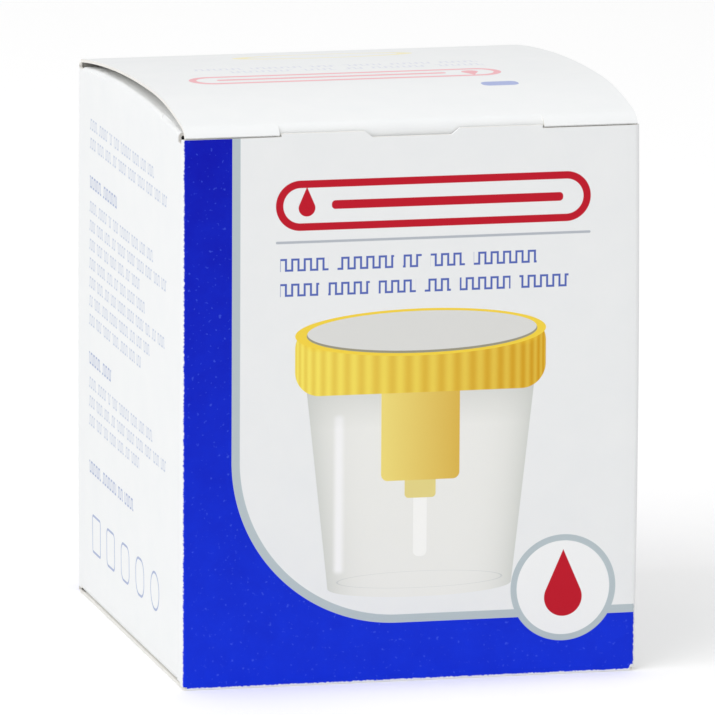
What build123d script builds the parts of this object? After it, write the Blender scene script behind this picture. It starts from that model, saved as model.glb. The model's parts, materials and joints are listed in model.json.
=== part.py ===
from build123d import *
import os
from math import asin, cos, degrees, radians, sin

# A tuck-end folding carton that holds one screw-cap specimen container with a built-in tube holder.
# Millimetres. X runs across the front panel, Y from front to back, Z up from the table.

# Specimen container
cap_diameter = 69.0
cap_skirt = 17.0
cap_wall = 1.3
cap_plate = 1.6
cap_shoulder = 1.8
rim_rise = 0.7
rim_width = 2.0
rib_count = 48
rib_rise = 0.6
rib_width = 2.6
rib_draft = 60
rib_sink = 0.2
rib_start = 2.2
thread_room = 1.1
thread_start = 5.5
thread_pitch = 4.0
thread_turns = 1.5
thread_rise = 0.7
thread_root = 2.2
thread_crest = 0.6
thread_sink = 0.4
skirt_gap = 0.6
cup_height = 76.0
cup_wall = 1.2
cup_floor = 1.4
cup_base_diameter = 51.0
collar_height = 1.5
collar_step = 1.0
foot_rise = 1.0
foot_width = 2.0
foot_fillet = 1.2
floor_fillet = 2.0
plug_depth = 3.0
plug_wall = 1.0
label_room = 0.9
label_thickness = 0.2
running_fit = 0.05

# Tube holder moulded into the cap, with its needle and the pick-up tube below it
well_bore = 18.6
well_wall = 1.4
well_depth = 42.0
well_floor = 1.8
nub_diameter = 8.3
nub_length = 4.8
pickup_diameter = 4.6
pickup_wall = 0.7
pickup_clear = 10.4
pickup_grip = 4.0
pickup_slant = 35.0
cannula_diameter = 0.9
cannula_bore = 0.5
cannula_above = 20.0
cannula_below = 3.0
sleeve_diameter = 3.2
sleeve_tip = 1.4
boss_diameter = 5.4
boss_height = 2.0
seat_gap = 0.1

# Carton board and the room that it leaves round the container
board = 0.5
side_room = 2.0
end_room = 4.0
head_room = 7.7
fold_radius = 0.9

# Top lid, which bows up while it is shut: the place of its crest and the slopes of its front bend
crest_shift = 15.0
front_bend = 2.4
bend_slope = 12.0
corner_slope = 55.0
corner_rest = 0.05
lid_inset = 0.4

# Tuck flaps of both lids, and the slits beside them
tuck_gap = 0.3
tuck_length = 14.0
tuck_corner = 8.0
tuck_side_room = 1.0
bottom_tuck_fold = 1.2
slit_start = 21.1
slit_end_gap = 0.3
slit_gap = 0.4
thumb_half_top = 7.7
thumb_half_bottom = 6.4
thumb_depth = 1.0

# Dust flaps
flap_length = 22.0
flap_end_room = 2.5
edge_relief = 0.7
flap_neck = 3.0
flap_taper = 2.2
flap_corner = 3.0
flap_fold = 0.7
flap_crest = 1.9
flap_crest_shift = 6.0
flap_back_drop = 0.7
bottom_flap_fold = 1.5

# Glued seam
glue_width = 12.0
glue_end = 4.0
glue_taper = 3.0
seam_gap = 0.1

# The carton's size, from what it holds
seat_z = 2 * board
rim_z = seat_z + cup_height
plate_z = rim_z + cap_plate
width = cap_diameter + 2 * side_room + 2 * board
depth = cap_diameter + 2 * end_room + 2 * board
height = plate_z + rim_rise + head_room + 3 * board
half_w = width / 2
half_d = depth / 2
lid_half = half_w - lid_inset
tuck_half = half_w - board - tuck_side_room
slit_x = slit_start + slit_end_gap
flap_end = half_d - board - flap_end_room
tuck_radius = depth - board - tuck_gap

# The lid's arcs, worked back from its front corners, which lie on the front panel's edge
bend_sin = sin(radians(bend_slope))
bend_cos = cos(radians(bend_slope))
corner_sin = sin(radians(corner_slope))
corner_cos = cos(radians(corner_slope))
corner_radius = front_bend / (corner_sin - bend_sin)
bend_y = front_bend - half_d
front_radius = (half_d - crest_shift - front_bend) / bend_sin
corner_z = height - board + corner_rest + board * corner_cos
bend_z = corner_z + corner_radius * (bend_cos - corner_cos)
crest_z = bend_z + front_radius * (1 - bend_cos)
back_run = half_d + crest_shift
crown_rise = crest_z - height
crown_radius = (back_run**2 + crown_rise**2) / (2 * crown_rise)
hinge_slope = degrees(asin(back_run / crown_radius))
tuck_fold = (front_bend - board - tuck_gap) / (1 - bend_sin)

# The bow of the side panels' top folds
flap_run = half_d + flap_crest_shift
flap_fall = flap_crest + flap_back_drop
flap_bow = (flap_run**2 + flap_fall**2) / (2 * flap_fall)
flap_crest_z = height - board + flap_crest

# The container's round sizes
cap_root = cap_diameter / 2 - rib_rise
cap_inner = cap_root - cap_wall
neck_radius = cap_inner - thread_room
neck_inner = neck_radius - cup_wall
base_radius = cup_base_diameter / 2
skirt_z = plate_z - cap_skirt
collar_z = skirt_z - skirt_gap
thread_z = collar_z + thread_start
floor_z = seat_z + foot_rise + cup_floor
wall_lean = (neck_inner - base_radius + cup_wall) / (rim_z - floor_z)
well_bottom_z = plate_z - well_depth
well_floor_z = well_bottom_z + well_floor
nub_z = well_bottom_z - nub_length
pickup_top_z = nub_z + pickup_grip
pickup_foot_z = floor_z + pickup_clear
boss_z = well_floor_z + boss_height

# The two lids' hinge lines, with the directions in the YZ plane of their boards and mitres
mitre_reach = 3 * board
top_hinge = (half_d, height)
bottom_hinge = (-half_d, 0)
lid_angle = 180 - hinge_slope
back_angle = 270
top_mitre = (lid_angle + back_angle) / 2
bottom_mitre = 45


def mitre_side(corner, angle_a, angle_b):
    """A wedge at a hinge, between two directions in the YZ plane, that is cut off one of its boards."""
    with BuildPart() as wedge:
        with BuildSketch(Plane.YZ):
            with BuildLine():
                reach = []
                for angle in (angle_a, angle_b):
                    turn = radians(angle)
                    reach.append((corner[0] + mitre_reach * cos(turn), corner[1] + mitre_reach * sin(turn)))
                Polyline(corner, reach[0], reach[1], close=True)
            make_face()
        extrude(amount=width, both=True)
    return wedge.part


def bent_board(centre, radius, start, sweep):
    """A bent strip of board seen edge on: radius is its printed face, start and sweep its angles."""
    with BuildSketch() as strip:
        with BuildLine():
            outer = CenterArc(centre, radius, start, sweep)
            inner = CenterArc(centre, radius - board, start, sweep)
            Line(outer @ 0, inner @ 0)
            Line(outer @ 1, inner @ 1)
        make_face()
    return strip.sketch


def side_fold(edge_z, radius, upward):
    """The section of a right-hand flap: the bend at the panel's edge, then the flat flap."""
    with BuildSketch() as section:
        add(bent_board((half_w - radius, edge_z - upward * radius), radius, 0, upward * 90))
        flat = flap_length - radius
        with Locations((half_w - radius - flat / 2, edge_z - upward * board / 2)):
            Rectangle(flat, board)
    return section.sketch


def flap_outline():
    """The right-hand dust flap seen from above, narrower and rounded at its free end."""
    with BuildSketch() as plan:
        with BuildLine():
            Polyline(
                (half_w, -flap_end),
                (half_w, flap_end),
                (half_w - flap_neck, flap_end),
                (half_w - flap_length, flap_end - flap_taper),
                (half_w - flap_length, -flap_end + flap_taper),
                (half_w - flap_neck, -flap_end),
                close=True,
            )
        make_face()
        fillet(plan.vertices().group_by(Axis.X)[0], radius=flap_corner)
    return plan.sketch


def top_dust_flap():
    """The right-hand top dust flap, bowed like the panel edge that it folds from."""
    with BuildPart() as flap:
        bow_axis = Axis((0, -flap_crest_shift, flap_crest_z - flap_bow), (1, 0, 0))
        with BuildSketch(Plane.XZ.offset(flap_crest_shift)):
            add(side_fold(flap_crest_z, flap_fold, 1))
        swing = degrees(asin(flap_run / flap_bow))
        revolve(axis=bow_axis, revolution_arc=swing)
        with BuildSketch(Plane.XZ.offset(flap_crest_shift)):
            add(side_fold(flap_crest_z, flap_fold, 1))
        revolve(axis=bow_axis, revolution_arc=-swing)
        with BuildSketch(Plane.XY.offset(height - depth / 2)):
            add(flap_outline())
        extrude(amount=depth, mode=Mode.INTERSECT)
    return flap.part


def bottom_dust_flap():
    """The right-hand bottom dust flap, flat on the bottom lid."""
    with BuildPart() as flap:
        with BuildSketch(Plane.XZ):
            add(side_fold(board, bottom_flap_fold, -1))
        extrude(amount=half_d, both=True)
        with BuildSketch():
            add(flap_outline())
        extrude(amount=depth, mode=Mode.INTERSECT)
    return flap.part


def side_panel_top():
    """The bowed top end of the right-hand side panel, up to where its fold starts."""
    with BuildPart() as panel:
        with BuildSketch(Plane.YZ.offset(half_w - board)):
            with Locations((-flap_crest_shift, flap_crest_z - flap_bow)):
                Circle(flap_bow - flap_fold)
            with Locations((0, height - flap_length / 2)):
                Rectangle(2 * flap_end, flap_length, mode=Mode.INTERSECT)
        extrude(amount=board)
    return panel.part


def thumb_edge(face_y, edge_z, inward):
    """The cuts in a front or back panel's free edge: two lowered ends and the thumb notch."""
    with BuildPart() as cuts:
        with BuildSketch(Plane.XZ.offset(-face_y)):
            end_width = half_w
            for side in (-1, 1):
                with Locations((side * (slit_start + end_width / 2), edge_z)):
                    Rectangle(end_width, 2 * board)
            with BuildLine():
                Polyline(
                    (-thumb_half_top, edge_z),
                    (-thumb_half_bottom, edge_z - inward * thumb_depth),
                    (thumb_half_bottom, edge_z - inward * thumb_depth),
                    (thumb_half_top, edge_z),
                    close=True,
                )
            make_face()
        extrude(amount=fold_radius + board, both=True)
    return cuts.part


def tuck_flap(hinge_y, fold_z, start, slit_z):
    """A tuck flap, curled about its lid's hinge line and cut free of the lid's corners by the slits."""
    upward = 1 if start == 0 else -1
    with BuildPart() as flap:
        with BuildSketch(Plane.YZ):
            add(bent_board((hinge_y, fold_z), tuck_radius, start, degrees(tuck_length / tuck_radius)))
        extrude(amount=tuck_half, both=True)
        tip = flap.faces().sort_by(Axis.Z)[-1 if upward > 0 else 0]
        fillet(tip.edges().filter_by(Axis.X, reverse=True), radius=tuck_corner)
        for side in (-1, 1):
            with Locations((side * (slit_x + half_w / 2), -hinge_y, slit_z + upward * (slit_gap - board))):
                Box(half_w, 4 * front_bend, 2 * board, mode=Mode.SUBTRACT)
    return flap.part


def thread_ridge(radius, foot_z, outward):
    """A helical ridge sunk a little into a round wall, standing out from it (1) or in (-1)."""
    with BuildPart() as ridge:
        with BuildLine():
            path = Helix(thread_pitch, thread_pitch * thread_turns, radius, center=(0, 0, foot_z))
        with BuildSketch(Plane(origin=path @ 0, x_dir=(outward, 0, 0), z_dir=path % 0)):
            with BuildLine():
                Polyline(
                    (-thread_sink, -thread_root / 2),
                    (-thread_sink, thread_root / 2),
                    (thread_rise, thread_crest / 2),
                    (thread_rise, -thread_crest / 2),
                    close=True,
                )
            make_face()
        sweep(is_frenet=True)
    return ridge.part


# Carton: one blank, folded round and glued, with its four dust flaps
with BuildPart() as carton:
    with BuildSketch():
        RectangleRounded(width, depth, fold_radius)
        RectangleRounded(width - 2 * board, depth - 2 * board, fold_radius - board, mode=Mode.SUBTRACT)
        # At the seam the right-hand panel stops short, and the back panel folds in behind it
        with Locations((half_w, half_d)):
            Rectangle(2 * (board + fold_radius), 2 * (fold_radius + seam_gap), mode=Mode.SUBTRACT)
        add(bent_board((half_w - board - fold_radius, half_d - fold_radius), fold_radius, 0, 90))
    extrude(amount=height)
    # The free edges of the front and back panels
    add(thumb_edge(-half_d, height, 1), mode=Mode.SUBTRACT)
    add(thumb_edge(half_d, 0, -1), mode=Mode.SUBTRACT)
    # The corner folds beside the two lids
    for hinge_y, hinge_z in ((half_d, height), (-half_d, 0)):
        with Locations((-half_w, hinge_y, hinge_z), (half_w, hinge_y, hinge_z)):
            Box(2 * fold_radius, 2 * fold_radius, 2 * board, mode=Mode.SUBTRACT)
    # The side panels, cut back to their folds
    for side in (-1, 1):
        for edge_z in (0, height):
            with Locations((side * half_w, 0, edge_z)):
                Box(3 * board, depth - 2 * fold_radius, 2 * (board + edge_relief), mode=Mode.SUBTRACT)
        with Locations((side * half_w, 0, height)):
            Box(3 * board, 2 * flap_end, flap_length, mode=Mode.SUBTRACT)
        with Locations((side * half_w, 0, 0)):
            Box(3 * board, 2 * flap_end, 2 * (board + bottom_flap_fold), mode=Mode.SUBTRACT)
    for piece in (side_panel_top(), top_dust_flap(), bottom_dust_flap()):
        add(piece)
        add(mirror(piece, about=Plane.YZ, mode=Mode.PRIVATE))
    # The creases that the two lids hinge on, mitred so that the boards clear as they swing
    add(mitre_side(top_hinge, lid_angle, top_mitre), mode=Mode.SUBTRACT)
    add(mitre_side(bottom_hinge, 0, bottom_mitre), mode=Mode.SUBTRACT)
    # The glued seam, inside the right-hand panel at the back
    with BuildSketch(Plane.YZ.offset(half_w - 2 * board)):
        with BuildLine():
            seam_y = half_d - fold_radius
            Polyline(
                (seam_y, glue_end),
                (seam_y, height - glue_end),
                (seam_y - glue_width, height - glue_end - glue_taper),
                (seam_y - glue_width, glue_end + glue_taper),
                close=True,
            )
        make_face()
    extrude(amount=board)

# Lid: the bowed panel, its slit front corners and the tuck flap that goes behind the front panel
with BuildPart() as lid:
    with BuildSketch(Plane.YZ):
        add(bent_board((-crest_shift, crest_z - crown_radius), crown_radius, 90 - hinge_slope, hinge_slope))
        add(bent_board((-crest_shift, crest_z - front_radius), front_radius, 90, bend_slope))
    extrude(amount=lid_half, both=True)
    # The corners outside the slits lie on the front panel's lowered ends
    for side in (-1, 1):
        with BuildSketch(Plane.YZ.offset(side * slit_x)):
            corner_centre = (bend_y + corner_radius * bend_sin, bend_z - corner_radius * bend_cos)
            add(bent_board(corner_centre, corner_radius, 90 + bend_slope, corner_slope - bend_slope))
        extrude(amount=side * (lid_half - slit_x))
    # Between the slits the board folds down into the tuck flap
    with BuildSketch(Plane.YZ):
        fold_centre = (bend_y + tuck_fold * bend_sin, bend_z - tuck_fold * bend_cos)
        add(bent_board(fold_centre, tuck_fold, 90 + bend_slope, 90 - bend_slope))
    extrude(amount=slit_x, both=True)
    add(tuck_flap(half_d, bend_z - tuck_fold * bend_cos, 180, height - board))
    add(mitre_side(top_hinge, top_mitre, back_angle), mode=Mode.SUBTRACT)

# Bottom lid: flat, hinged at the front and tucked in at the back
with BuildPart() as bottom_lid:
    fold_y = half_d - board - tuck_gap - bottom_tuck_fold
    with Locations((0, (fold_y - half_d) / 2, board / 2)):
        Box(2 * lid_half, fold_y + half_d, board)
    for side in (-1, 1):
        with Locations((side * (slit_x + lid_half) / 2, (fold_y + half_d) / 2, board / 2)):
            Box(lid_half - slit_x, half_d - fold_y, board)
    with BuildSketch(Plane.YZ):
        add(bent_board((fold_y, bottom_tuck_fold), bottom_tuck_fold, -90, 90))
    extrude(amount=slit_x, both=True)
    add(tuck_flap(-half_d, bottom_tuck_fold, 0, board))
    add(mitre_side(bottom_hinge, bottom_mitre, 90), mode=Mode.SUBTRACT)

# Cup: moulded in one piece, with a foot ring, a collar under the cap and a threaded neck
with BuildPart() as cup:
    with BuildSketch(Plane.XZ):
        with BuildLine():
            collar_foot = collar_z - collar_height
            FilletPolyline(
                (0, floor_z),
                (base_radius - cup_wall, floor_z),
                (neck_inner, rim_z),
                (neck_radius, rim_z),
                (neck_radius, collar_z),
                (neck_radius + collar_step, collar_z),
                (neck_radius + collar_step, collar_foot),
                (neck_radius, collar_foot),
                (base_radius, seat_z),
                (base_radius - foot_width, seat_z),
                (base_radius - foot_width, seat_z + foot_rise),
                (0, seat_z + foot_rise),
                radius=[floor_fillet, 0.3, 0.3, 0, 0.3, 0.3, 0, foot_fillet, 0.3, 0.3],
            )
            Line((0, seat_z + foot_rise), (0, floor_z))
        make_face()
    revolve(axis=Axis.Z)
    add(thread_ridge(neck_radius, thread_z, 1))

# Cap: ribbed skirt, thread, sealing lip, and the tube holder moulded down from its top
with BuildPart() as cap:
    with BuildSketch(Plane.XZ):
        with BuildLine():
            well_radius = well_bore / 2
            lip_radius = neck_inner - running_fit
            hole_radius = cannula_diameter / 2 + running_fit
            socket_radius = pickup_diameter / 2 + running_fit
            Polyline(
                (well_radius, plate_z),
                (cap_root - rim_width, plate_z),
                (cap_root - rim_width, plate_z + rim_rise),
                (cap_root, plate_z + rim_rise),
                (cap_root, skirt_z),
                (cap_inner, skirt_z),
                (cap_inner, rim_z),
                (lip_radius, rim_z),
                (lip_radius - plug_depth * wall_lean, rim_z - plug_depth),
                (lip_radius - plug_wall, rim_z - plug_depth),
                (lip_radius - plug_wall, rim_z),
                (well_radius + well_wall, rim_z),
                (well_radius + well_wall, well_bottom_z),
                (nub_diameter / 2, well_bottom_z),
                (nub_diameter / 2, nub_z),
                (socket_radius, nub_z),
                (socket_radius, pickup_top_z + seat_gap),
                (hole_radius, pickup_top_z + seat_gap),
                (hole_radius, boss_z),
                (boss_diameter / 2, boss_z),
                (boss_diameter / 2, well_floor_z),
                (well_radius, well_floor_z),
                close=True,
            )
        profile = make_face()
        shoulder = profile.vertices().group_by(Axis.Y)[-1].sort_by(Axis.X)[-1]
        fillet(shoulder, radius=cap_shoulder)
    revolve(axis=Axis.Z)
    with BuildSketch(Plane.XY.offset(skirt_z)):
        with PolarLocations(cap_root - rib_sink, rib_count):
            Trapezoid(rib_width, rib_rise + rib_sink, rib_draft, align=(Align.CENTER, Align.MIN), rotation=-90)
    extrude(amount=cap_skirt - rib_start)
    add(thread_ridge(cap_inner, thread_z - thread_pitch / 2, -1))

# Peel-off label that seals the tube holder's mouth
with BuildPart() as cap_label:
    with BuildSketch(Plane.XY.offset(plate_z)):
        Circle(cap_root - rim_width - label_room)
    extrude(amount=label_thickness)

# Pick-up tube, pushed up into the nub and cut slanting at its foot
with BuildPart() as pickup_tube:
    with BuildSketch(Plane.XY.offset(pickup_top_z)):
        Circle(pickup_diameter / 2)
        Circle(pickup_diameter / 2 - pickup_wall, mode=Mode.SUBTRACT)
    extrude(amount=pickup_foot_z - pickup_top_z)
    slant_normal = Vector(0, 0, 1).rotate(Axis.Y, pickup_slant)
    slant = Plane((-pickup_diameter / 2, 0, pickup_foot_z), x_dir=(0, 1, 0), z_dir=slant_normal)
    split(bisect_by=slant, keep=Keep.TOP)

# Cannula through the holder's floor, hollow, from the stopper's height into the pick-up tube
with BuildPart() as cannula:
    with BuildSketch(Plane.XY.offset(pickup_top_z - cannula_below)):
        Circle(cannula_diameter / 2)
        Circle(cannula_bore / 2, mode=Mode.SUBTRACT)
    extrude(amount=well_floor_z + cannula_above - pickup_top_z + cannula_below)

# Rubber sleeve that closes over the cannula until a tube is pushed on
with BuildPart() as needle_sleeve:
    sleeve_z = boss_z + seat_gap
    tip_z = well_floor_z + cannula_above
    with BuildSketch(Plane.XY.offset(sleeve_z)):
        Circle(sleeve_diameter / 2)
    extrude(amount=tip_z + sleeve_tip - sleeve_z)
    fillet(needle_sleeve.edges().group_by(Axis.Z)[-1], radius=sleeve_diameter / 4)
    with BuildSketch(Plane.XY.offset(sleeve_z)):
        Circle(cannula_diameter / 2 + running_fit)
    extrude(amount=tip_z + seat_gap - sleeve_z, mode=Mode.SUBTRACT)

pieces = {
    "carton": carton,
    "lid": lid,
    "bottom_lid": bottom_lid,
    "cup": cup,
    "cap": cap,
    "cap_label": cap_label,
    "pickup_tube": pickup_tube,
    "cannula": cannula,
    "needle_sleeve": needle_sleeve,
}
os.makedirs("parts", exist_ok=True)
for name, piece in pieces.items():
    piece.part.label = name
    export_step(piece.part, f"parts/{name}.step")
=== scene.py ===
# %% [markdown]
# A printed folding carton, shut, with a screw-cap specimen container inside. The CAD model holds every piece at
# its real size. This file dresses it: the board, its print, the plastics inside, and the studio round it. It is
# written as cells, so each step can be read and run after the one before.

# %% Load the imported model
import json
import math

import bmesh
import bpy
from mathutils import Matrix, Vector


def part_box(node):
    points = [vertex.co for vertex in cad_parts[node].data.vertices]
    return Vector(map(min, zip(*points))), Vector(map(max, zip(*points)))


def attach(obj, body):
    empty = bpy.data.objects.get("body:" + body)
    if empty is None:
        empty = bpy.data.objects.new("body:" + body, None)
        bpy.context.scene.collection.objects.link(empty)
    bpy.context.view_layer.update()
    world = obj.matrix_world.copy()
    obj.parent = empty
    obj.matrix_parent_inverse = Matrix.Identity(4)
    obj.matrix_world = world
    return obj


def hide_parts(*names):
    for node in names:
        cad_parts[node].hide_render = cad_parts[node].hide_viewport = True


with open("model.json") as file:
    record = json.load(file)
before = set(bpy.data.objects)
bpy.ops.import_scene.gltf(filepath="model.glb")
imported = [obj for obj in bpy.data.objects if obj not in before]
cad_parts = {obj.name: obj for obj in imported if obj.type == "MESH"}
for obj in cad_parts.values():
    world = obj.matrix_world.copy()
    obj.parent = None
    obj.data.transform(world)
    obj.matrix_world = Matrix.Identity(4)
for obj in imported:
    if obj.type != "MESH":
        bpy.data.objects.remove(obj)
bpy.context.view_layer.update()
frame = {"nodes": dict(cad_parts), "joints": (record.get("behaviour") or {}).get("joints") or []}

# %% [markdown]
# Everything is in metres, in the carton's own frame: X across the front, Y from front to back, Z up. The sizes
# that the rest needs are read from the CAD nodes. Only the board's thickness is written again, because no one
# node's box gives it.

# %% Sizes read from the frame
MM = 0.001
_, (HALF_W, HALF_D, _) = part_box("carton")
WIDTH_MM = 2 * HALF_W / MM
DEPTH_MM = 2 * HALF_D / MM
hinge = next(joint for joint in frame["joints"] if joint["name"] == "lid_hinge")
HEIGHT = hinge["pos_m"][2]
HEIGHT_MM = HEIGHT / MM
BOARD = 0.5 * MM
print(f"carton {WIDTH_MM:.1f} x {DEPTH_MM:.1f} x {HEIGHT_MM:.1f} mm")

# %% [markdown]
# ## Camera
# The photograph was taken from a little left of the front and a little above, from far away with a long lens,
# so upright edges stay nearly parallel. The angles, the distance and the lens come from fitting the carton's
# corners to the photograph.

# %% Camera at the photograph's angle
CAMERA_AZIMUTH = math.radians(-13.49)
CAMERA_ELEVATION = math.radians(10.70)
CAMERA_ROLL = math.radians(0.30)
CAMERA_DISTANCE = 1.866
CAMERA_ASIDE = 0.63 * MM
CAMERA_ABOVE = 0.59 * MM
PIXELS_PER_METRE = 6213
FRAME_PIXELS = 715
SENSOR_MM = 36


def place_camera():
    """A long lens on a camera turned and rolled as in the photograph, aimed at the carton's middle."""
    level = Vector((math.sin(CAMERA_AZIMUTH), -math.cos(CAMERA_AZIMUTH), 0))
    back = level * math.cos(CAMERA_ELEVATION) + Vector((0, 0, math.sin(CAMERA_ELEVATION)))
    level_right = (-back).cross(Vector((0, 0, 1))).normalized()
    level_up = back.cross(level_right)
    right = level_right * math.cos(CAMERA_ROLL) + level_up * math.sin(CAMERA_ROLL)
    up = back.cross(right)
    target = Vector((0, 0, HEIGHT / 2)) + level_right * CAMERA_ASIDE + level_up * CAMERA_ABOVE
    place = target + back * CAMERA_DISTANCE
    data = bpy.data.cameras.new("camera")
    data.sensor_width = SENSOR_MM
    data.lens = PIXELS_PER_METRE * CAMERA_DISTANCE * SENSOR_MM / FRAME_PIXELS
    camera = bpy.data.objects.new("camera", data)
    turn = Matrix((right, up, back)).transposed().to_4x4()
    camera.matrix_world = Matrix.Translation(place) @ turn
    bpy.context.scene.collection.objects.link(camera)
    bpy.context.scene.camera = camera
    print(f"lens {data.lens:.0f} mm")


place_camera()

# %% [markdown]
# ## Nodes and colours
# Every material is built from shader nodes. Colours are written as sRGB hex, the way a printer's swatch is
# quoted, and one function turns them to the linear values that the shaders use. Another adds a node: it sets
# the node's options, fills its inputs in order or by name, and links those that are another node's output.

# %% Colour and node helpers
def srgb(code):
    """An sRGB hex colour as linear red, green, blue and alpha."""
    parts = [int(code[i : i + 2], 16) / 255 for i in (0, 2, 4)]
    return tuple(c / 12.92 if c <= 0.04045 else ((c + 0.055) / 1.055) ** 2.4 for c in parts) + (1.0,)


def add(tree, kind, *inputs, output=0, named=None, **options):
    """Adds one node with its options and inputs, and returns one of its outputs."""
    made = tree.nodes.new("ShaderNode" + kind)
    for name, value in options.items():
        setattr(made, name, value)
    for key, value in [*enumerate(inputs), *(named or {}).items()]:
        if isinstance(value, bpy.types.NodeSocket):
            tree.links.new(value, made.inputs[key])
        else:
            made.inputs[key].default_value = value
    return made.outputs[output]


def new_material(name):
    """A new node material, with its node tree and its surface shader."""
    material = bpy.data.materials.new(name)
    material.use_nodes = True
    tree = material.node_tree
    shader = next(n for n in tree.nodes if n.type == "BSDF_PRINCIPLED")
    return material, tree, shader


# %% [markdown]
# ## Printed shapes
# A carton is printed flat, in inks that stop sharply at their edges. Here a shape is a distance: negative
# inside it, positive outside, in millimetres on the panel. A mask made from that distance is as crisp as
# offset print at any zoom, and needs no picture file. The panel's own millimetres come from Object
# coordinates, so the print stays on the board when a lid swings.

# %% Distances and masks
INK_EDGE = 0.06


def panel_point(tree, across, up):
    """A panel's point in millimetres from its lower left corner: each way is an axis, a sign and an offset."""
    axes = add(tree, "SeparateXYZ", add(tree, "TexCoord", output=3)).node.outputs
    parts = []
    for axis, sign, offset in (across, up):
        parts.append(add(tree, "Math", axes[axis], sign / MM, offset, operation="MULTIPLY_ADD"))
    return add(tree, "CombineXYZ", *parts)


def split_point(tree, point):
    """The two coordinates of a panel's point."""
    axes = add(tree, "SeparateXYZ", point).node.outputs
    return axes[0], axes[1]


def box_distance(tree, point, low, high, radius=0.2):
    """Distance to a box with rounded corners, exact outside it and at most the radius inside."""
    centre = ((low[0] + high[0]) / 2, (low[1] + high[1]) / 2, 0)
    half = ((high[0] - low[0]) / 2 - radius, (high[1] - low[1]) / 2 - radius, 1)
    offset = add(tree, "VectorMath", point, centre, operation="SUBTRACT")
    offset = add(tree, "VectorMath", offset, operation="ABSOLUTE")
    offset = add(tree, "VectorMath", offset, half, operation="SUBTRACT")
    offset = add(tree, "VectorMath", offset, (0, 0, 0), operation="MAXIMUM")
    length = add(tree, "VectorMath", offset, output=1, operation="LENGTH")
    return add(tree, "Math", length, radius, operation="SUBTRACT")


def disc_distance(tree, point, centre, radius, squash=1.0):
    """Distance to a disc, or to an ellipse whose height is squash times its width."""
    offset = add(tree, "VectorMath", point, (*centre, 0), operation="SUBTRACT")
    offset = add(tree, "VectorMath", offset, (1, squash, 1), operation="DIVIDE")
    length = add(tree, "VectorMath", offset, output=1, operation="LENGTH")
    return add(tree, "Math", length, radius, operation="SUBTRACT")


def outline(tree, distance, stroke):
    """Distance to a line of the given width along a shape's edge, just inside it."""
    middle = add(tree, "Math", distance, stroke / 2, operation="ADD")
    middle = add(tree, "Math", middle, operation="ABSOLUTE")
    return add(tree, "Math", middle, stroke / 2, operation="SUBTRACT")


def inside(tree, distance, edge=INK_EDGE):
    """1 inside a shape and 0 outside it."""
    return add(tree, "MapRange", distance, edge, -edge, interpolation_type="SMOOTHSTEP")


def both(tree, first, second):
    """1 only where two masks both are."""
    return add(tree, "Math", first, second, operation="MULTIPLY")


def ink(tree, ground, colour, mask):
    """Lays one ink over what is printed already."""
    return add(tree, "Mix", mask, output=2, named={6: ground, 7: colour}, data_type="RGBA")


def fade(tree, amount, start, end):
    """A colour between two, by an amount from 0 to 1."""
    return add(tree, "Mix", amount, output=2, named={6: start, 7: end}, data_type="RGBA")


# %% [markdown]
# ## Rows of fine ornament
# The panels carry blocks of thin rows. Each row is a meander line, which goes up, along, down and along again,
# cut into pieces of uneven length. A block is straight at its left and ragged at its right, and no piece is cut
# short at either end. From a distance a block has the grey tone of fine print.

# %% Rows of meander
# Shares of a row's size
MEANDER_STEP = 0.42
MEANDER_HALF = 0.36
MEANDER_STROKE = 0.14
MEANDER_GAP = 0.3
# Where each next row, and the first one, reads the noise that cuts the rows
ROW_SHIFT = 7.37
FIRST_SHIFT = 0.61


def piece_edge(tree, along):
    """The edge between two pieces that lies nearest to a place along a row, as a place on that row too."""
    cells = {"W": along, "Scale": 1.0}
    nearest = add(tree, "TexVoronoi", output="W", named=cells, voronoi_dimensions="1D", feature="F1")
    second = add(tree, "TexVoronoi", output="W", named=cells, voronoi_dimensions="1D", feature="F2")
    both_centres = add(tree, "Math", nearest, second, operation="ADD")
    return add(tree, "Math", both_centres, 0.5, operation="MULTIPLY")


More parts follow.
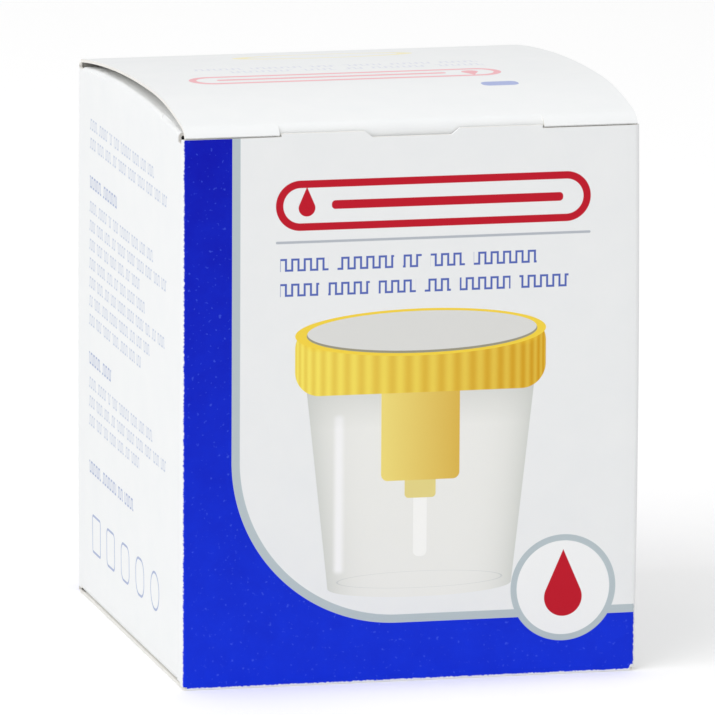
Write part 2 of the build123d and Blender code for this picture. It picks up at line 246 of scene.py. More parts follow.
def meander_rows(tree, point, low, high, pitch, size, longest=7.0, ragged=0.35):
    """A mask of rows, pitch apart, of meander for the given size, in pieces about as long as longest."""
    across, up = split_point(tree, point)
    place = add(tree, "Math", high[1], up, operation="SUBTRACT")
    place = add(tree, "Math", place, pitch, operation="DIVIDE")
    row = add(tree, "Math", place, operation="FLOOR")
    in_row = add(tree, "Math", place, operation="FRACT")
    off_middle = add(tree, "Math", in_row, pitch, -pitch / 2, operation="MULTIPLY_ADD")
    height = add(tree, "Math", off_middle, operation="ABSOLUTE")
    # Uprights stand one step apart
    step, half, stroke = size * MEANDER_STEP, size * MEANDER_HALF, size * MEANDER_STROKE
    steps = add(tree, "Math", across, step, operation="DIVIDE")
    upright = add(tree, "Math", steps, operation="FRACT")
    upright = add(tree, "Math", upright, step, -step / 2, operation="MULTIPLY_ADD")
    upright = add(tree, "Math", upright, operation="ABSOLUTE")
    tall = add(tree, "Math", height, half, operation="SUBTRACT")
    upright = add(tree, "Math", upright, tall, operation="MAXIMUM")
    # They are joined at the top and at the foot in turn
    turn = add(tree, "Math", steps, 0.5, operation="ADD")
    turn = add(tree, "Math", turn, operation="FLOOR")
    turn = add(tree, "Math", turn, 2.0, operation="FLOORED_MODULO")
    level = add(tree, "Math", turn, 2 * half, -half, operation="MULTIPLY_ADD")
    bar = add(tree, "Math", off_middle, level, operation="SUBTRACT")
    bar = add(tree, "Math", bar, operation="ABSOLUTE")
    line = add(tree, "Math", upright, bar, operation="MINIMUM")
    line = add(tree, "Math", line, stroke / 2, operation="SUBTRACT")
    # Pieces come from uneven cells along the row, with a gap where two cells meet, and a row starts with one
    start = piece_edge(tree, add(tree, "Math", row, ROW_SHIFT, FIRST_SHIFT, operation="MULTIPLY_ADD"))
    along = add(tree, "Math", across, low[0], operation="SUBTRACT")
    along = add(tree, "Math", along, 1 / longest, start, operation="MULTIPLY_ADD")
    cells = {"W": along, "Scale": 1.0}
    edge = add(tree, "TexVoronoi", named=cells, voronoi_dimensions="1D", feature="DISTANCE_TO_EDGE")
    gap = add(tree, "Math", edge, -longest, size * MEANDER_GAP, operation="MULTIPLY_ADD")
    mask = both(tree, inside(tree, line), inside(tree, gap))
    # Each row ends at its own place, where a piece does
    end = add(tree, "TexWhiteNoise", named={"W": row}, noise_dimensions="1D")
    room = (high[0] - low[0]) / longest
    end = add(tree, "Math", end, -room * ragged, room, operation="MULTIPLY_ADD")
    end = piece_edge(tree, add(tree, "Math", end, start, operation="ADD"))
    short = add(tree, "Math", along, end, operation="LESS_THAN")
    block = inside(tree, box_distance(tree, point, low, high))
    return both(tree, both(tree, mask, short), block)


# %% [markdown]
# ## Folding board
# The carton is solid bleached board, half a millimetre thick: clay coated and varnished outside, bare wood
# fibre inside and at its cut edges. The varnish gives a soft sheen over a faint unevenness, and the fibre side
# is matt and a little warmer. Board like this keeps a shallow ripple from its pressing, so its reflections
# are never quite straight. Both finishes are built once, and each panel adds its own print.

# %% Board finishes
COATING_GRAIN_MM = 0.8
BOARD_RIPPLE_MM = 14.0
FIBRE_GRAIN_MM = 0.3
INK_MOTTLE_MM = 6.0
VARNISH_ROUGHNESS = (0.38, 0.5)
SOLID_INK_SMOOTHER = 0.1
WHITE = srgb("f2f3f3")
SHADE_WHITE = srgb("edeff0")


def varnish(tree, shader, colour, inked=None):
    """Gives a coated face its colour, its fine unevenness and its sheen; solid ink is a little smoother."""
    place = add(tree, "TexCoord", output=3)
    grain = add(tree, "TexNoise", place, named={"Scale": 1 / (COATING_GRAIN_MM * MM), "Detail": 4.0})
    ripple = add(tree, "TexNoise", place, named={"Scale": 1 / (BOARD_RIPPLE_MM * MM), "Detail": 1.0})
    height = add(tree, "Math", ripple, 12.0, grain, operation="MULTIPLY_ADD")
    bump = add(tree, "Bump", named={"Strength": 0.35, "Distance": 0.012 * MM, "Height": height})
    rough = add(tree, "MapRange", grain, 0.3, 0.7, *VARNISH_ROUGHNESS)
    if inked:
        rough = add(tree, "Math", inked, -SOLID_INK_SMOOTHER, rough, operation="MULTIPLY_ADD")
    tree.links.new(colour, shader.inputs["Base Color"])
    tree.links.new(bump, shader.inputs["Normal"])
    tree.links.new(rough, shader.inputs["Roughness"])
    shader.inputs["Specular IOR Level"].default_value = 0.12


def coated_board(name):
    """Coated board with nothing printed on it, faintly clouded as board is."""
    material, tree, shader = new_material(name)
    place = add(tree, "TexCoord", output=3)
    cloud = add(tree, "TexNoise", place, named={"Scale": 1 / (INK_MOTTLE_MM * MM), "Detail": 3.0})
    varnish(tree, shader, fade(tree, cloud, SHADE_WHITE, WHITE))
    return material


def white_ground(tree, point):
    """The same clouded white, for a printed panel whose point is in millimetres."""
    cloud = add(tree, "TexNoise", point, named={"Scale": 1 / INK_MOTTLE_MM, "Detail": 3.0})
    return fade(tree, cloud, SHADE_WHITE, WHITE)


def bare_fibre_board():
    """The board's uncoated side and its cut edges: pressed wood fibre, matt, warm and slightly flecked."""
    material, tree, shader = new_material("bare_fibre_board")
    place = add(tree, "TexCoord", output=3)
    fine = {"Scale": 1 / (FIBRE_GRAIN_MM * MM), "Detail": 6.0, "Roughness": 0.7}
    fibre = add(tree, "TexNoise", place, named=fine)
    cloud = add(tree, "TexNoise", place, named={"Scale": 1 / (INK_MOTTLE_MM * MM), "Detail": 3.0})
    cloud = add(tree, "Math", cloud, 0.4, operation="MULTIPLY")
    tone = add(tree, "Math", fibre, 0.6, cloud, operation="MULTIPLY_ADD")
    colour = fade(tree, tone, srgb("e4e2dc"), srgb("f3f1ed"))
    tree.links.new(colour, shader.inputs["Base Color"])
    bump = add(tree, "Bump", named={"Strength": 0.5, "Distance": 0.03 * MM, "Height": fibre})
    tree.links.new(bump, shader.inputs["Normal"])
    shader.inputs["Roughness"].default_value = 0.85
    shader.inputs["Specular IOR Level"].default_value = 0.2
    return material


# %% [markdown]
# ## The front panel's print
# White ground, a blue frame that runs down the left side and along the foot with a silver line inside its
# wide round corner, a red title plate over a grey rule and two rows of ornament, a ringed badge over the
# frame, and a plain picture of the container. Blue printed solid is never quite even, so it mottles a little.
# It is also made darker at the top, which is painted shade. It stops a hair short of the upright folds, and
# its edge there is a little rough, because the crease cracks the ink.

# %% Colours and places of the front print
BLUE_DEEP = srgb("0008b0")
BLUE_LIGHT = srgb("0a34e4")
SILVER = srgb("bac6cb")
RED = srgb("c2152a")
RULE_GREY = srgb("b7bcc4")
ROW_BLUE = srgb("5468b8")
PLATE_WHITE = srgb("f6f7f7")
FOLD_CLEAR = 0.3
WINDOW_LEFT = 8.0
WINDOW_FOOT = 9.5
WINDOW_CORNER = 27.0
KEYLINE = 1.3
FLECK_MM = 0.7
WEAR_MM = 0.5
PAST_PANEL = 200.0
TITLE_LEFT = 15.0
TITLE_RIGHT = 66.0
TITLE_FOOT = 73.0
TITLE_TOP = 81.0
RULE_FOOT = 71.0
RULE_TOP = 71.4
ROWS_FOOT = 61.6
ROWS_TOP = 69.6
ROW_PITCH = 4.0
ROW_SIZE = 2.4
ROW_LONGEST = 8.0
ROW_RAGGED = 0.25
BADGE_CENTRE = (62.0, 14.0)
BADGE_RADIUS = 8.6
KNOCK_RADIUS = 1.1
CUP_MIDDLE = 38.5
CUP_FOOT = 13.5
PICTURE_SCALE = 1.1


def solid_blue(tree, point):
    """Blue ink that mottles slightly, with painted shade that makes it deeper towards the top."""
    across, up = split_point(tree, point)
    mottle = add(tree, "TexNoise", point, named={"Scale": 1 / INK_MOTTLE_MM, "Detail": 5.0, "Roughness": 0.65})
    # Painted shade: the blue is made deeper towards the top of the panel, and the mottle is added to that
    mottle_and_shade = add(tree, "Math", up, 0.75 / HEIGHT_MM, -0.1, operation="MULTIPLY_ADD")
    mottle_and_shade = add(tree, "Math", mottle, 0.5, mottle_and_shade, operation="MULTIPLY_ADD")
    colour = fade(tree, mottle_and_shade, BLUE_LIGHT, BLUE_DEEP)
    # Pale flecks where the ink missed a fibre
    fleck = add(tree, "TexNoise", point, named={"Scale": 1 / FLECK_MM, "Detail": 1.0})
    fleck = add(tree, "MapRange", fleck, 0.66, 0.76, 0.0, 0.3)
    return ink(tree, colour, srgb("5a78f4"), fleck)


# %% [markdown]
# ## The picture of the container
# It is drawn with the same few shapes: a tapering milky body, the tube holder and the pick-up tube seen
# through it, the ribbed cap and the seal on top. The ribs crowd together at the cap's sides, as they do on a
# real cylinder, because their angle comes from an arcsine of the distance from the middle. The picture has its
# own millimetres, counted from the middle of the body's foot.

# %% Picture of the container
def container_picture(tree, panel, ground):
    """Draws the container over the ground, on a scale where its cap is 37 mm wide."""
    point = add(tree, "VectorMath", panel, (CUP_MIDDLE, CUP_FOOT, 0), operation="SUBTRACT")
    point = add(tree, "VectorMath", point, (PICTURE_SCALE, PICTURE_SCALE, 1), operation="DIVIDE")
    across, up = split_point(tree, point)
    sideways = add(tree, "Math", across, operation="ABSOLUTE")
    # The body narrows towards a rounded foot, and its wall is darker where it is seen edge on
    half = add(tree, "Math", up, 0.11, 13.4, operation="MULTIPLY_ADD")
    wall = add(tree, "Math", sideways, half, operation="SUBTRACT")
    tall = inside(tree, box_distance(tree, point, (-20, 1.6), (20, 34)))
    foot = inside(tree, disc_distance(tree, point, (0, 1.7), 13.55, 0.12))
    body = add(tree, "Math", both(tree, inside(tree, wall), tall), foot, operation="MAXIMUM")
    round_shade = add(tree, "MapRange", wall, -14.0, 0.0)
    round_shade = add(tree, "Math", round_shade, 5.0, operation="POWER")
    milk = fade(tree, round_shade, srgb("f0f0ec"), srgb("d6d8d3"))
    ground = ink(tree, ground, milk, body)
    # Light caught by the wall on the left, and the shadow that the cap throws on the neck
    streak = inside(tree, box_distance(tree, point, (-12.6, 4), (-11.4, 27), 0.5), 0.5)
    ground = ink(tree, ground, srgb("fafafa"), streak)
    neck = add(tree, "MapRange", up, 25.0, 31.0, 0.0, 0.55)
    ground = ink(tree, ground, srgb("c9cbc6"), both(tree, neck, body))
    rim = inside(tree, outline(tree, disc_distance(tree, point, (0, 2.6), 12.3, 0.1), 0.25), 0.12)
    ground = ink(tree, ground, srgb("cfd2d0"), rim)
    # Pick-up tube, nub and tube holder
    tube = box_distance(tree, point, (-1.0, 6), (1.0, 17), 0.8)
    ground = ink(tree, ground, srgb("fbfbf8"), inside(tree, tube))
    nub = box_distance(tree, point, (-2.3, 14.6), (2.3, 19), 0.6)
    ground = ink(tree, ground, srgb("e8d88a"), inside(tree, nub))
    turn = add(tree, "MapRange", across, -5.8, 5.8)
    holder = box_distance(tree, point, (-5.8, 17.2), (5.8, 33), 1.0)
    ground = ink(tree, ground, fade(tree, turn, srgb("f3df7e"), srgb("dfb850")), inside(tree, holder))
    # The ribbed skirt, lit from the left
    angle = add(tree, "Math", across, 1 / 18.6, operation="MULTIPLY")
    angle = add(tree, "Math", angle, operation="ARCSINE")
    rib = add(tree, "Math", angle, 48.0, operation="MULTIPLY")
    rib = add(tree, "Math", rib, operation="SINE")
    turn = add(tree, "MapRange", across, -18.5, 18.5, 0.12, 0.8)
    turn = add(tree, "Math", rib, 0.16, turn, operation="MULTIPLY_ADD")
    skirt = inside(tree, box_distance(tree, point, (-18.5, 30.0), (18.5, 40.5), 3.6))
    ground = ink(tree, ground, fade(tree, turn, srgb("fbe764"), srgb("d49a12")), skirt)
    band = inside(tree, box_distance(tree, point, (-18.4, 36.6), (18.4, 40.5), 3.4), 0.5)
    ground = ink(tree, ground, fade(tree, turn, srgb("f9dc4e"), srgb("e6b426")), band)
    # The cap's top with its seal, which throws a thin shadow
    top_discs = (
        ("f7d748", (0, 38.8), 18.5, 0.185),
        ("9d9a86", (0.2, 38.75), 17.0, 0.175),
        ("dfdfdc", (0.2, 39.0), 16.9, 0.17),
    )
    for tone, centre, radius, squash in top_discs:
        disc = disc_distance(tree, point, centre, radius, squash)
        ground = ink(tree, ground, srgb(tone), inside(tree, disc))
    return ground


# %% [markdown]
# ## Badge and title plate
# The badge is a white disc in a silver ring with one red drop: a circle below and a wedge above it, joined.
# The title plate is a long red ring with rounded ends that holds a drop and a plain bar.

# %% Badge, title plate and the whole front
DROP_LEAN = 0.4
DROP_SPREAD = 0.917


def drop_distance(tree, point, centre, size):
    """Distance to a drop: a disc, and a wedge above it whose two sides touch the disc."""
    disc = disc_distance(tree, point, centre, size)
    across, up = split_point(tree, add(tree, "VectorMath", point, (*centre, 0), operation="SUBTRACT"))
    sideways = add(tree, "Math", across, operation="ABSOLUTE")
    lean = add(tree, "Math", up, DROP_LEAN, -size, operation="MULTIPLY_ADD")
    lean = add(tree, "Math", sideways, DROP_SPREAD, lean, operation="MULTIPLY_ADD")
    low = add(tree, "Math", DROP_LEAN * size, up, operation="SUBTRACT")
    wedge = add(tree, "Math", lean, low, operation="MAXIMUM")
    return add(tree, "Math", disc, wedge, operation="MINIMUM")


def badge(tree, point, ground, centre, radius):
    """A silver ring round a white disc with one red drop."""
    ground = ink(tree, ground, SILVER, inside(tree, disc_distance(tree, point, centre, radius)))
    ground = ink(tree, ground, PLATE_WHITE, inside(tree, disc_distance(tree, point, centre, radius - 1.0)))
    drop = drop_distance(tree, point, (centre[0], centre[1] - radius * 0.18), radius * 0.36)
    return ink(tree, ground, RED, inside(tree, drop))


def title_plate(tree, point, ground, low, high, colour, stroke=1.2):
    """A long ring with rounded ends, a drop at its left and a plain bar beside the drop."""
    ring = box_distance(tree, point, low, high, (high[1] - low[1]) / 2 - 0.01)
    ground = ink(tree, ground, colour, inside(tree, outline(tree, ring, stroke)))
    middle = (low[1] + high[1]) / 2
    drop = drop_distance(tree, point, (low[0] + 5.0, middle - 0.4), 1.35)
    ground = ink(tree, ground, colour, inside(tree, drop))
    bar = box_distance(tree, point, (low[0] + 9, middle - 0.7), (high[0] - 4.5, middle + 0.7), 0.6)
    return ink(tree, ground, colour, inside(tree, bar))


def front_print(name, across):
    """The print of the front panel, which the back panel repeats."""
    material, tree, shader = new_material(name)
    point = panel_point(tree, across, (2, 1, 0))
    colour = white_ground(tree, point)
    corner = (PAST_PANEL, PAST_PANEL)
    window = box_distance(tree, point, (WINDOW_LEFT, WINDOW_FOOT), corner, WINDOW_CORNER)
    # Ink stops unevenly along the folds, and is rubbed off at the corner that has been knocked
    wear = add(tree, "TexNoise", point, named={"Scale": 1 / WEAR_MM, "Detail": 4.0})
    edge = box_distance(tree, point, (FOLD_CLEAR, FOLD_CLEAR), (WIDTH_MM - FOLD_CLEAR, PAST_PANEL), 0.4)
    edge = add(tree, "Math", edge, 0.25, operation="SUBTRACT")
    printed = inside(tree, add(tree, "Math", wear, 0.5, edge, operation="MULTIPLY_ADD"), 0.1)
    knocked = disc_distance(tree, point, (WIDTH_MM, 0), KNOCK_RADIUS)
    knocked = add(tree, "Math", knocked, 1.2, operation="SUBTRACT")
    knocked = inside(tree, add(tree, "Math", wear, 2.4, knocked, operation="MULTIPLY_ADD"), 0.2)
    printed = add(tree, "Math", printed, knocked, operation="SUBTRACT", use_clamp=True)
    outer = inside(tree, add(tree, "Math", window, -1.0, operation="MULTIPLY"))
    solid = both(tree, printed, outer)
    colour = ink(tree, colour, solid_blue(tree, point), solid)
    colour = ink(tree, colour, SILVER, both(tree, printed, inside(tree, outline(tree, window, KEYLINE))))
    colour = container_picture(tree, point, colour)
    colour = title_plate(tree, point, colour, (TITLE_LEFT, TITLE_FOOT), (TITLE_RIGHT, TITLE_TOP), RED)
    rule = box_distance(tree, point, (TITLE_LEFT, RULE_FOOT), (TITLE_RIGHT, RULE_TOP))
    colour = ink(tree, colour, RULE_GREY, inside(tree, rule))
    low, high = (TITLE_LEFT, ROWS_FOOT), (TITLE_RIGHT, ROWS_TOP)
    rows = meander_rows(tree, point, low, high, ROW_PITCH, ROW_SIZE, ROW_LONGEST, ROW_RAGGED)
    colour = ink(tree, colour, ROW_BLUE, rows)
    colour = badge(tree, point, colour, BADGE_CENTRE, BADGE_RADIUS)
    varnish(tree, shader, colour, solid)
    return material


# %% [markdown]
# ## Side panels and lid
# The side panels carry only fine ornament in a pale blue-grey, with darker rows over each block, and a row of
# plain outlines near the foot, from a square to a circle. The lid repeats the front's title plate in faint
# tints and reads from the back.

# %% Side print and lid print
PALE_ROWS = srgb("c3cbdc")
DARK_ROWS = srgb("a3afd0")
SIDE_MARGIN = 9.0
BLOCKS = ((81.0, 74.4), (67.5, 45.8), (38.5, 29.2))
BLOCK_PITCH = 3.1
BLOCK_SIZE = 2.1
BLOCK_LONGEST = 6.0
HEADINGS = ((71.5, 22), (42.5, 18), (24.5, 40))
HEADING_PITCH = 3.0
HEADING_SIZE = 2.3
HEADING_LONGEST = 9.0
SIGNS = 5
SIGN_SIDE = 6.4
SIGN_PITCH = 11.0
SIGN_FOOT = 9.0
SIGN_STROKE = 0.4


def side_print(name, across):
    """Dark rows over ragged blocks of pale ones, and a row of plain outlines near the foot."""
    material, tree, shader = new_material(name)
    point = panel_point(tree, across, (2, 1, 0))
    colour = white_ground(tree, point)
    left, right = SIDE_MARGIN, DEPTH_MM - SIDE_MARGIN
    for top, foot in BLOCKS:
        rows = meander_rows(tree, point, (left, foot), (right, top), BLOCK_PITCH, BLOCK_SIZE, BLOCK_LONGEST)
        colour = ink(tree, colour, PALE_ROWS, rows)
    for top, length in HEADINGS:
        low, high = (left, top - HEADING_PITCH), (left + length, top)
        rows = meander_rows(tree, point, low, high, HEADING_PITCH, HEADING_SIZE, HEADING_LONGEST, 0.0)
        colour = ink(tree, colour, DARK_ROWS, rows)
    for index in range(SIGNS):
        start = left + 2.8 + index * SIGN_PITCH
        low, high = (start, SIGN_FOOT), (start + SIGN_SIDE, SIGN_FOOT + SIGN_SIDE)
        sign = box_distance(tree, point, low, high, 0.7 + 0.6 * index)
        colour = ink(tree, colour, DARK_ROWS, inside(tree, outline(tree, sign, SIGN_STROKE)))
    varnish(tree, shader, colour)
    return material


def lid_print(name):
    """Faint tints that read from the back: a title plate, two rows, a blue mark and a yellow oval."""
    material, tree, shader = new_material(name)
    point = panel_point(tree, (0, -1, WIDTH_MM / 2), (1, -1, DEPTH_MM / 2))
    colour = white_ground(tree, point)
    colour = title_plate(tree, point, colour, (TITLE_LEFT, 43.0), (TITLE_RIGHT, 51.0), srgb("efb3ba"))
    low, high = (TITLE_LEFT, 32.0), (TITLE_RIGHT, 40.0)
    rows = meander_rows(tree, point, low, high, ROW_PITCH, ROW_SIZE, ROW_LONGEST, ROW_RAGGED)
    colour = ink(tree, colour, srgb("dfe1ea"), rows)
    mark = box_distance(tree, point, (TITLE_LEFT, 57), (TITLE_LEFT + 6, 60), 1.2)
    colour = ink(tree, colour, srgb("a9b4dd"), inside(tree, mark))
    oval = outline(tree, disc_distance(tree, point, (WIDTH_MM / 2, 16), 15, 0.3), 2.5)
    colour = ink(tree, colour, srgb("f4ecc4"), inside(tree, oval))
    varnish(tree, shader, colour)
    return material


# %% [markdown]
# ## Folding the visual board
# The CAD node already has the blank's true form: slits, thumb notch, dust flaps and glued seam. A copy of its
# mesh is merged, and joined where a side panel's top end and its dust flap leave a thin slit. It is cut into a
# grid so that the flat panels can bow a little, as filled cartons do, and its faces are sorted into printed,
# plain coated and bare fibre. The copy then stands for the node.

# %% Board pieces from the CAD nodes
GRID_MM = 4.0
PANEL_BOW = 0.35 * MM
BOW_LEFT_FOLD = 0.3
BOW_RIGHT_FOLD = 0.9
WALL_SKIN = 1.2 * MM
PRINT_SKIN = 1.1 * MM
CUT_EDGE_BAND = 3 * MM
LID_FOLD_BAND = 2.4 * MM
FLAT = math.radians(0.05)
SHARP = math.radians(35)
SLIT_REACH = 0.75 * HALF_D
SLIT_TOP = 0.8 * MM


def in_side_slit(face):
    """Whether a face bounds the thin slit between a side panel's top end and its dust flap's fold."""
    centre = face.calc_center_median()
    level = abs(face.normal.z) > 0.9 and abs(centre.x) > HALF_W - BOARD
    return level and abs(centre.y) < SLIT_REACH and -0.01 * MM < centre.z - HEIGHT < SLIT_TOP


def close_side_slits(bm):
    """Joins each side panel to its dust flap's fold, so that the sheet runs on without a slit."""
    slit = [face for face in bm.faces if in_side_slit(face)]
    bmesh.ops.delete(bm, geom=slit, context="FACES_ONLY")
    loose = [edge for edge in bm.edges if not edge.link_faces]
    bmesh.ops.delete(bm, geom=loose, context="EDGES")
    rims = [edge for edge in bm.edges if edge.is_boundary]
    bmesh.ops.holes_fill(bm, edges=rims, sides=0)
    print("slit faces", len(slit), "open edges", sum(not edge.is_manifold for edge in bm.edges))


def merged_copy(source):
    """A mesh of the CAD node's form with its loose triangles joined and its flat faces whole."""
    bm = bmesh.new()
    bm.from_mesh(frame["nodes"][source].data)
    bmesh.ops.remove_doubles(bm, verts=bm.verts, dist=1e-6)
    if source == "carton":
        close_side_slits(bm)
    bmesh.ops.dissolve_limit(bm, angle_limit=FLAT, verts=bm.verts, edges=bm.edges)
    low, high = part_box(source)
    for axis in range(3):
        steps = max(1, round((high[axis] - low[axis]) / (GRID_MM * MM)))
        for step in range(1, steps):
            place = Vector()
            place[axis] = low[axis] + (high[axis] - low[axis]) * step / steps
            normal = Vector()
            normal[axis] = 1
            parts = bm.verts[:] + bm.edges[:] + bm.faces[:]
            bmesh.ops.bisect_plane(bm, geom=parts, plane_co=place, plane_no=normal, dist=1e-7)
    return bm


def board_piece(source, materials, sort_face, shift=None):
    """Makes a board piece from a node: a material for each face, smooth bends, sharp cut edges, its body."""
    bm = merged_copy(source)
    for face in bm.faces:
        face.material_index = sort_face(face.calc_center_median(), face.normal)
        face.smooth = True
    if shift:
        for vertex in bm.verts:
            vertex.co += shift(vertex.co)
    for edge in bm.edges:
        edge.smooth = len(edge.link_faces) == 2 and edge.calc_face_angle(0) < SHARP
    name = source + "_board"
    mesh = bpy.data.meshes.new(name)
    bm.to_mesh(mesh)
    bm.free()
    for material in materials:
        mesh.materials.append(material)
    piece = bpy.data.objects.new(name, mesh)
    bpy.context.scene.collection.objects.link(piece)
    # Each of these nodes is carried by the body that has its name
    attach(piece, source)
    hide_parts(source)
    print(name, len(mesh.polygons), "faces")


def sort_carton_face(centre, normal):
    """0 coated white, 1 bare fibre, then the printed panels: 2 front, 3 left, 4 right, 5 back."""
    if abs(normal.z) > 0.95 and abs(centre.y) > HALF_D - CUT_EDGE_BAND:
        return 1
    if normal.y < -0.4 and centre.y < PRINT_SKIN - HALF_D:
        return 2
    if normal.y > 0.4 and centre.y > HALF_D - PRINT_SKIN:
        return 5
    if normal.x < -0.9 and centre.x < PRINT_SKIN - HALF_W:
        return 3
    if normal.x > 0.9 and centre.x > HALF_W - PRINT_SKIN:
        return 4
    # Elsewhere a face that looks away from the carton's middle is the coated side
    reach = Vector((centre.x / HALF_W, centre.y / HALF_D, 2 * centre.z / HEIGHT - 1))
    outward = Vector([part**15 for part in reach])
    return 0 if normal.dot(outward) > 0.3 * outward.length else 1


def sort_lid_face(centre, normal):
    """0 coated white, 1 bare fibre, 2 the printed top."""
    if normal.z > 0.7 and centre.y > LID_FOLD_BAND - HALF_D:
        return 2
    if abs(normal.x) > 0.9 or (normal.y > 0.5 and centre.y < 0):
        return 1
    return 0 if normal.z > 0.1 or normal.y < -0.5 else 1


def sort_bottom_face(centre, normal):
    """0 coated white, 1 bare fibre."""
    if abs(normal.x) > 0.9:
        return 1
    return 0 if normal.z < -0.5 or (normal.y > 0.5 and centre.y > 0) else 1


def bow(point):
    """How far a point of the walls stands out: most at the middle of its panel, and least at its folds."""
    rise = PANEL_BOW * math.sin(math.pi * min(max(point.z / HEIGHT, 0), 1))
    shift = Vector()
    if abs(point.y) > HALF_D - WALL_SKIN:
        shift.y = math.copysign(rise * math.cos(math.pi * point.x / (2 * HALF_W)), point.y)
    if abs(point.x) > HALF_W - WALL_SKIN:
        fold = BOW_RIGHT_FOLD if point.x > 0 else BOW_LEFT_FOLD
        middle = math.cos(math.pi * point.y / (2 * HALF_D))
        shift.x = math.copysign(rise * (fold + (1 - fold) * middle), point.x)
    return shift


bare = bare_fibre_board()
coated = coated_board("coated_folding_board")
front = front_print("printed_board_front", (0, 1, WIDTH_MM / 2))
back = front_print("printed_board_back", (0, -1, WIDTH_MM / 2))
left_side = side_print("printed_board_left", (1, -1, DEPTH_MM / 2))
right_side = side_print("printed_board_right", (1, 1, DEPTH_MM / 2))
top_print = lid_print("printed_board_lid")

board_piece("carton", (coated, bare, front, left_side, right_side, back), sort_carton_face, bow)
board_piece("lid", (coated, bare, top_print), sort_lid_face)
board_piece("bottom_lid", (coated, bare), sort_bottom_face)

# %% [markdown]
# ## Plastics of the container
# The container inside is seen when the lid is open. Its CAD pieces already have the right shapes, so they
# stay, and only get better finishes. The cup is natural polypropylene, which is milky because its crystals
# scatter light, and the cap is the same plastic with yellow pigment. Both are injection moulded: they have a
# faint flow pattern from the gate outwards and a surface as fine as the polished tool that shaped them.

# %% Moulded plastics
FLOW_MM = 9.0
MOULD_GRAIN_MM = 0.4
PLASTIC_IOR = 1.49


def moulded_plastic(name, shade, light, roughness, transmission=0.0):
    """Injection-moulded plastic: two close tones that flow upwards, and a fine grain."""
    material, tree, shader = new_material(name)
    place = add(tree, "TexCoord", output=3)
    stretched = add(tree, "VectorMath", place, (1, 1, 0.25), operation="MULTIPLY")
    streaks = {"Scale": 1 / (FLOW_MM * MM), "Detail": 3.0, "Distortion": 0.6}
    flow = add(tree, "TexNoise", stretched, named=streaks)
    grain = add(tree, "TexNoise", place, named={"Scale": 1 / (MOULD_GRAIN_MM * MM), "Detail": 3.0})
    bump = add(tree, "Bump", named={"Strength": 0.3, "Distance": 0.01 * MM, "Height": grain})
    tree.links.new(fade(tree, flow, srgb(shade), srgb(light)), shader.inputs["Base Color"])
    tree.links.new(bump, shader.inputs["Normal"])
    rough = add(tree, "MapRange", grain, 0.3, 0.7, roughness - 0.05, roughness + 0.05)
    tree.links.new(rough, shader.inputs["Roughness"])
    shader.inputs["IOR"].default_value = PLASTIC_IOR
    shader.inputs["Transmission Weight"].default_value = transmission
    return material


def finish_node(name, material):
    """Gives a CAD node another material."""
    for slot in frame["nodes"][name].material_slots:
        slot.material = material
    print(name, "is", material.name)


finish_node("cup", moulded_plastic("natural_polypropylene", "e3e5df", "f1f2ee", 0.34, 0.55))
finish_node("cap", moulded_plastic("yellow_polypropylene", "f0bd1c", "f7cf35", 0.36))
finish_node("pickup_tube", moulded_plastic("clear_polystyrene", "eef0ee", "f8f9f7", 0.12, 0.85))

# %% [markdown]
# ## Seal label, needle and sleeve
# The seal is coated paper, printed with two rings, a drop and a few rows, and peeled off before a tube goes in.
# The needle is drawn stainless steel, with scratches that run along it. The sleeve over it is natural rubber:
# dull, slightly dusty and grey.

# %% Label, steel and rubber
SCRATCH_MM = 0.08
DUST_MM = 0.6


def label_paper():
    """Seal paper with a thin ring near its edge, a drop inside a small ring, and three rows."""
    material, tree, shader = new_material("printed_seal_paper")
    point = panel_point(tree, (0, 1, 0), (1, 1, 0))
    cloud = add(tree, "TexNoise", point, named={"Scale": 1 / INK_MOTTLE_MM, "Detail": 3.0})
    colour = fade(tree, cloud, srgb("d9dad7"), srgb("e2e3e0"))
    for radius, stroke, tone in ((29.3, 0.5, "9aa5ad"), (11.8, 0.7, "9aa5ad")):
        ring = outline(tree, disc_distance(tree, point, (0, 0), radius), stroke)
        colour = ink(tree, colour, srgb(tone), inside(tree, ring))
    colour = ink(tree, colour, RED, inside(tree, drop_distance(tree, point, (0, -1.2), 3.6)))
    rows = meander_rows(tree, point, (-14, -24), (14, -15), 3.0, 1.9, 6.0, 0.1)
    colour = ink(tree, colour, srgb("6a7488"), rows)
    varnish(tree, shader, colour)
    return material


def drawn_steel():
    """Stainless steel tube drawn through a die: fine scratches along its length."""
    material, tree, shader = new_material("drawn_stainless_steel")
    place = add(tree, "VectorMath", add(tree, "TexCoord", output=3), (1, 1, 0.03), operation="MULTIPLY")
    scratch = add(tree, "TexNoise", place, named={"Scale": 1 / (SCRATCH_MM * MM), "Detail": 3.0})
    tree.links.new(add(tree, "MapRange", scratch, 0.3, 0.7, 0.18, 0.38), shader.inputs["Roughness"])
    tree.links.new(fade(tree, scratch, srgb("c2c4c6"), srgb("d6d8d9")), shader.inputs["Base Color"])
    shader.inputs["Metallic"].default_value = 1.0
    return material


def natural_rubber():
    """Dip-moulded natural rubber, dull and slightly dusty."""
    material, tree, shader = new_material("natural_rubber")
    place = add(tree, "TexCoord", output=3)
    dust = add(tree, "TexNoise", place, named={"Scale": 1 / (DUST_MM * MM), "Detail": 5.0})
    tree.links.new(fade(tree, dust, srgb("a9a49b"), srgb("c4c0b6")), shader.inputs["Base Color"])
    tree.links.new(add(tree, "MapRange", dust, 0.3, 0.7, 0.6, 0.85), shader.inputs["Roughness"])
    shader.inputs["Specular IOR Level"].default_value = 0.3
    return material


finish_node("cap_label", label_paper())
finish_node("cannula", drawn_steel())
finish_node("needle_sleeve", natural_rubber())

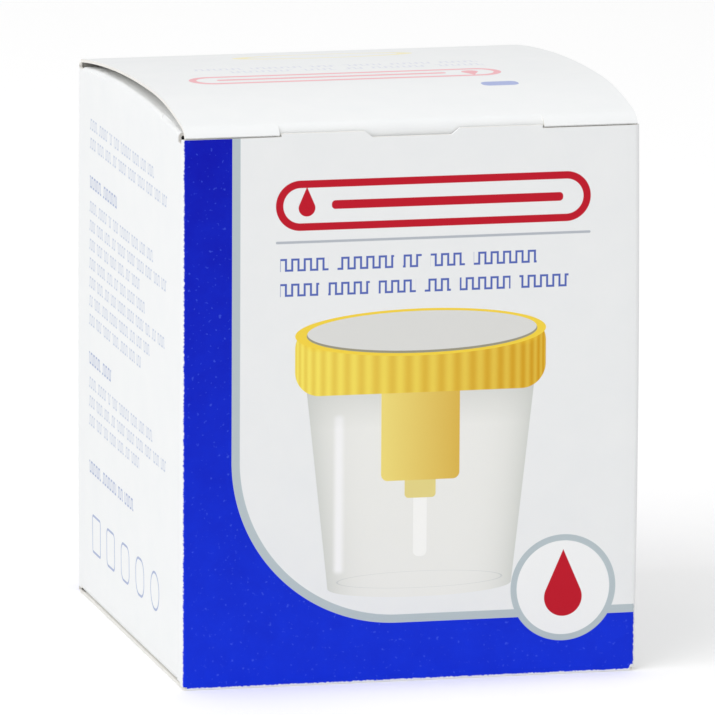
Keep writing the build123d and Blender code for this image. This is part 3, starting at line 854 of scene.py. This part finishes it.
# %% [markdown]
# ## The studio
# A white floor and plain soft light. The floor glows a little, but only for the camera, so that it reads as
# plain white paper with the soft shadow that the carton leaves at its foot. It lies a hair below the carton, so
# that the bottom lid, opened flat, shows on it.

# %% Floor, lights and world
FLOOR_DROP = 0.05 * MM
FLOOR_HALF = 4
FLOOR_GLOW = 0.15
WORLD_LIGHT = 0.62
# Name, place, size in metres and power in watts
LAMPS = (
    ("key_softbox", (-1.25, -0.58, 1.45), 1.8, 20.0),
    ("fill_softbox", (0.6, -1.6, 0.6), 1.0, 1.5),
    ("top_softbox", (0.0, 0.3, 1.6), 1.4, 3.5),
)


def studio():
    """The floor, the world's even light and three soft lamps aimed at the carton's middle."""
    bm = bmesh.new()
    lowered = Matrix.Translation((0, 0, -FLOOR_DROP))
    bmesh.ops.create_grid(bm, x_segments=2, y_segments=2, size=FLOOR_HALF, matrix=lowered)
    mesh = bpy.data.meshes.new("floor")
    bm.to_mesh(mesh)
    bm.free()
    floor = bpy.data.objects.new("floor", mesh)
    bpy.context.scene.collection.objects.link(floor)
    material, tree, shader = new_material("white_paper_floor")
    shader.inputs["Base Color"].default_value = srgb("f4f4f4")
    shader.inputs["Roughness"].default_value = 0.9
    shader.inputs["Specular IOR Level"].default_value = 0.1
    shader.inputs["Emission Color"].default_value = (1, 1, 1, 1)
    glow = add(tree, "Math", add(tree, "LightPath"), FLOOR_GLOW, operation="MULTIPLY")
    tree.links.new(glow, shader.inputs["Emission Strength"])
    mesh.materials.append(material)

    world = bpy.data.worlds.new("studio_world")
    bpy.context.scene.world = world
    world.use_nodes = True
    background = world.node_tree.nodes["Background"]
    background.inputs["Color"].default_value = (1, 1, 1, 1)
    background.inputs["Strength"].default_value = WORLD_LIGHT

    for name, place, size, watts in LAMPS:
        data = bpy.data.lights.new(name, "AREA")
        data.size = size
        data.energy = watts
        lamp = bpy.data.objects.new(name, data)
        aim = Vector((0, 0, HEIGHT / 2)) - Vector(place)
        turn = aim.to_track_quat("-Z", "Y").to_matrix().to_4x4()
        lamp.matrix_world = Matrix.Translation(place) @ turn
        bpy.context.scene.collection.objects.link(lamp)


studio()
bpy.context.scene.view_settings.view_transform = "Standard"
